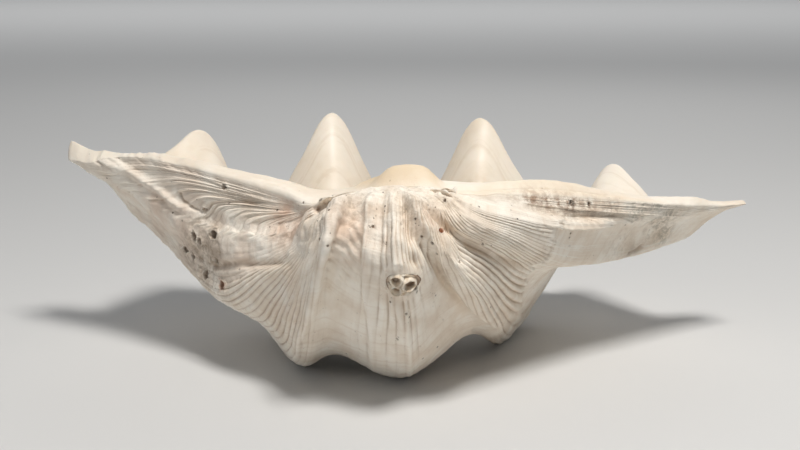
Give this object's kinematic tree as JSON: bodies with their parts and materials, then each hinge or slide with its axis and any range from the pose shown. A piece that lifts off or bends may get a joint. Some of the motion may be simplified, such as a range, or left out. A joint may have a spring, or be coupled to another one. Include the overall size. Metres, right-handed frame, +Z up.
{
  "type": "giant clam shell",
  "caption": "One valve of a giant clam, resting convex side down: deeply folded radial ribs, a scalloped margin of tall lobes, a blunt worn beak and a toothed hinge plate around an open bowl.",
  "frame": {"origin": "on the plane the shell rests on, under the middle of its outline", "axes": "+X along the hinge to the posterior tip, +Y from the hinge to the scalloped margin, +Z up, out of the open bowl"},
  "size_m": [0.4844, 0.3186, 0.1501],
  "materials": {
    "aged_shell": "chalky weathered outside, smooth ivory inside",
    "worm_tube": "matt limy crust"
  },
  "bodies": {
    "root": {"shell_valve": "aged_shell", "worm_tube_cluster": "worm_tube"}
  },
  "joints": []
}
